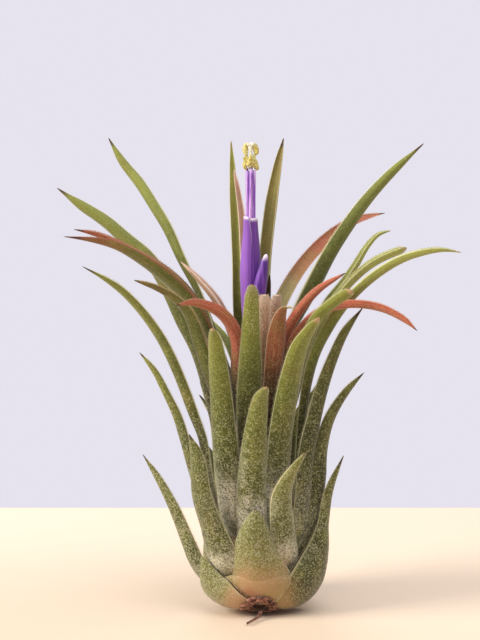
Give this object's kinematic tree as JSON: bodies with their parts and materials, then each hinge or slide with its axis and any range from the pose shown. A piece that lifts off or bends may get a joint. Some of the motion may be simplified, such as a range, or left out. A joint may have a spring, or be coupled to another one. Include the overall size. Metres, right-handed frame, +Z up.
{
  "type": "tillandsia ionantha air plant",
  "caption": "Small rootless air plant with a leafy bulb, arching channelled leaves and a violet tube flower.",
  "frame": {"origin": "middle of the resting spot under the stem, on the surface it stands on", "axes": "+Z up along the stem to the flower; +Y from the front with the short leaves to the far side"},
  "size_m": [0.0806, 0.0524, 0.0941],
  "materials": {
    "stem": "dry and matt",
    "root": "dry and matt",
    "petal": "soft satin",
    "filament": "soft satin",
    "pollen": "matt",
    "stigma": "matt",
    "dried": "dry and matt",
    "leaf_green": "matt with fine silver scales",
    "leaf_sheath": "matt with dense silver scales",
    "leaf_red": "satin",
    "leaf_pink": "satin with soft hairs"
  },
  "bodies": {
    "root": {"broad_leaf_right": "leaf_red", "dried_bract": "dried", "far_leaf_1": "leaf_green", "far_leaf_10": "leaf_green", "far_leaf_11": "leaf_green", "far_leaf_12": "leaf_green", "far_leaf_13": "leaf_green", "far_leaf_14": "leaf_green", "far_leaf_15": "leaf_green", "far_leaf_16": "leaf_green", "far_leaf_2": "leaf_green", "far_leaf_3": "leaf_green", "far_leaf_4": "leaf_green", "far_leaf_5": "leaf_green", "far_leaf_6": "leaf_green", "far_leaf_7": "leaf_green", "far_leaf_8": "leaf_green", "far_leaf_9": "leaf_green", "flower_anthers": "pollen", "flower_bud": "petal", "flower_filaments": "filament", "flower_petals": "petal", "flower_stigma": "stigma", "front_leaf_left_short": "leaf_green", "front_leaf_left_tall": "leaf_green", "front_leaf_middle": "leaf_green", "front_leaf_middle_tall": "leaf_green", "front_leaf_right_short": "leaf_green", "front_leaf_right_tall": "leaf_green", "leaf_left_brown_tip": "leaf_green", "leaf_left_high": "leaf_green", "leaf_left_inner_low": "leaf_green", "leaf_left_long": "leaf_green", "leaf_left_low": "leaf_green", "leaf_left_reddish": "leaf_red", "leaf_left_reddish_back": "leaf_red", "leaf_left_thin": "leaf_red", "leaf_left_upper": "leaf_green", "leaf_right_blunt": "leaf_green", "leaf_right_high": "leaf_green", "leaf_right_inner": "leaf_green", "leaf_right_long": "leaf_green", "leaf_right_low_slim": "leaf_green", "leaf_right_middle": "leaf_green", "leaf_right_pink": "leaf_pink", "leaf_right_thin": "leaf_green", "pink_leaf_left": "leaf_pink", "pink_leaf_right": "leaf_pink", "roots": "root", "sheath_front": "leaf_sheath", "sheath_left": "leaf_sheath", "sheath_right": "leaf_sheath", "stem_base": "stem", "strap_left": "leaf_red", "strap_right": "leaf_red", "strap_right_short": "leaf_red", "upright_leaf_left": "leaf_green", "upright_leaf_pink": "leaf_pink", "upright_leaf_right": "leaf_green"}
  },
  "joints": []
}
